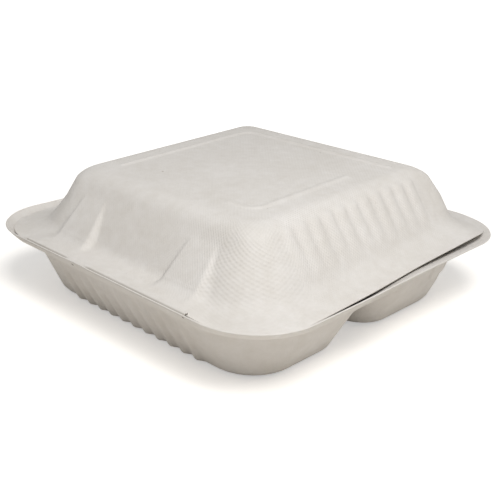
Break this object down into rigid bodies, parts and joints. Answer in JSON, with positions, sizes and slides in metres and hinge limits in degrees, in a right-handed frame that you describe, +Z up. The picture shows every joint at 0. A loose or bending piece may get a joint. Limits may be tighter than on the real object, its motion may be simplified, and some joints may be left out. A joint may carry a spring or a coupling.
{
  "type": "bagasse clamshell box",
  "caption": "Moulded sugar-cane fibre clamshell meal box with divided tray compartments, an upturned lip, ribbed walls and a fold-hinged raised lid standing slightly ajar.",
  "frame": {"origin": "middle of the flat resting base, at floor level", "axes": "+Z up, +Y towards the fold at the back, -Y towards the opening edge, X along the fold"},
  "size_m": [0.228, 0.228, 0.0804],
  "materials": {
    "moulded_fibre": "matte"
  },
  "bodies": {
    "tray": {"tray": "moulded_fibre"},
    "lid": {"lid": "moulded_fibre"}
  },
  "joints": [
    {"name": "lid_fold", "type": "hinge", "parent": "tray", "child": "lid", "pos_m": [0, 0.114, 0.0412], "axis": [-1, 0, 0], "range_deg": [-0.3, 178]}
  ]
}
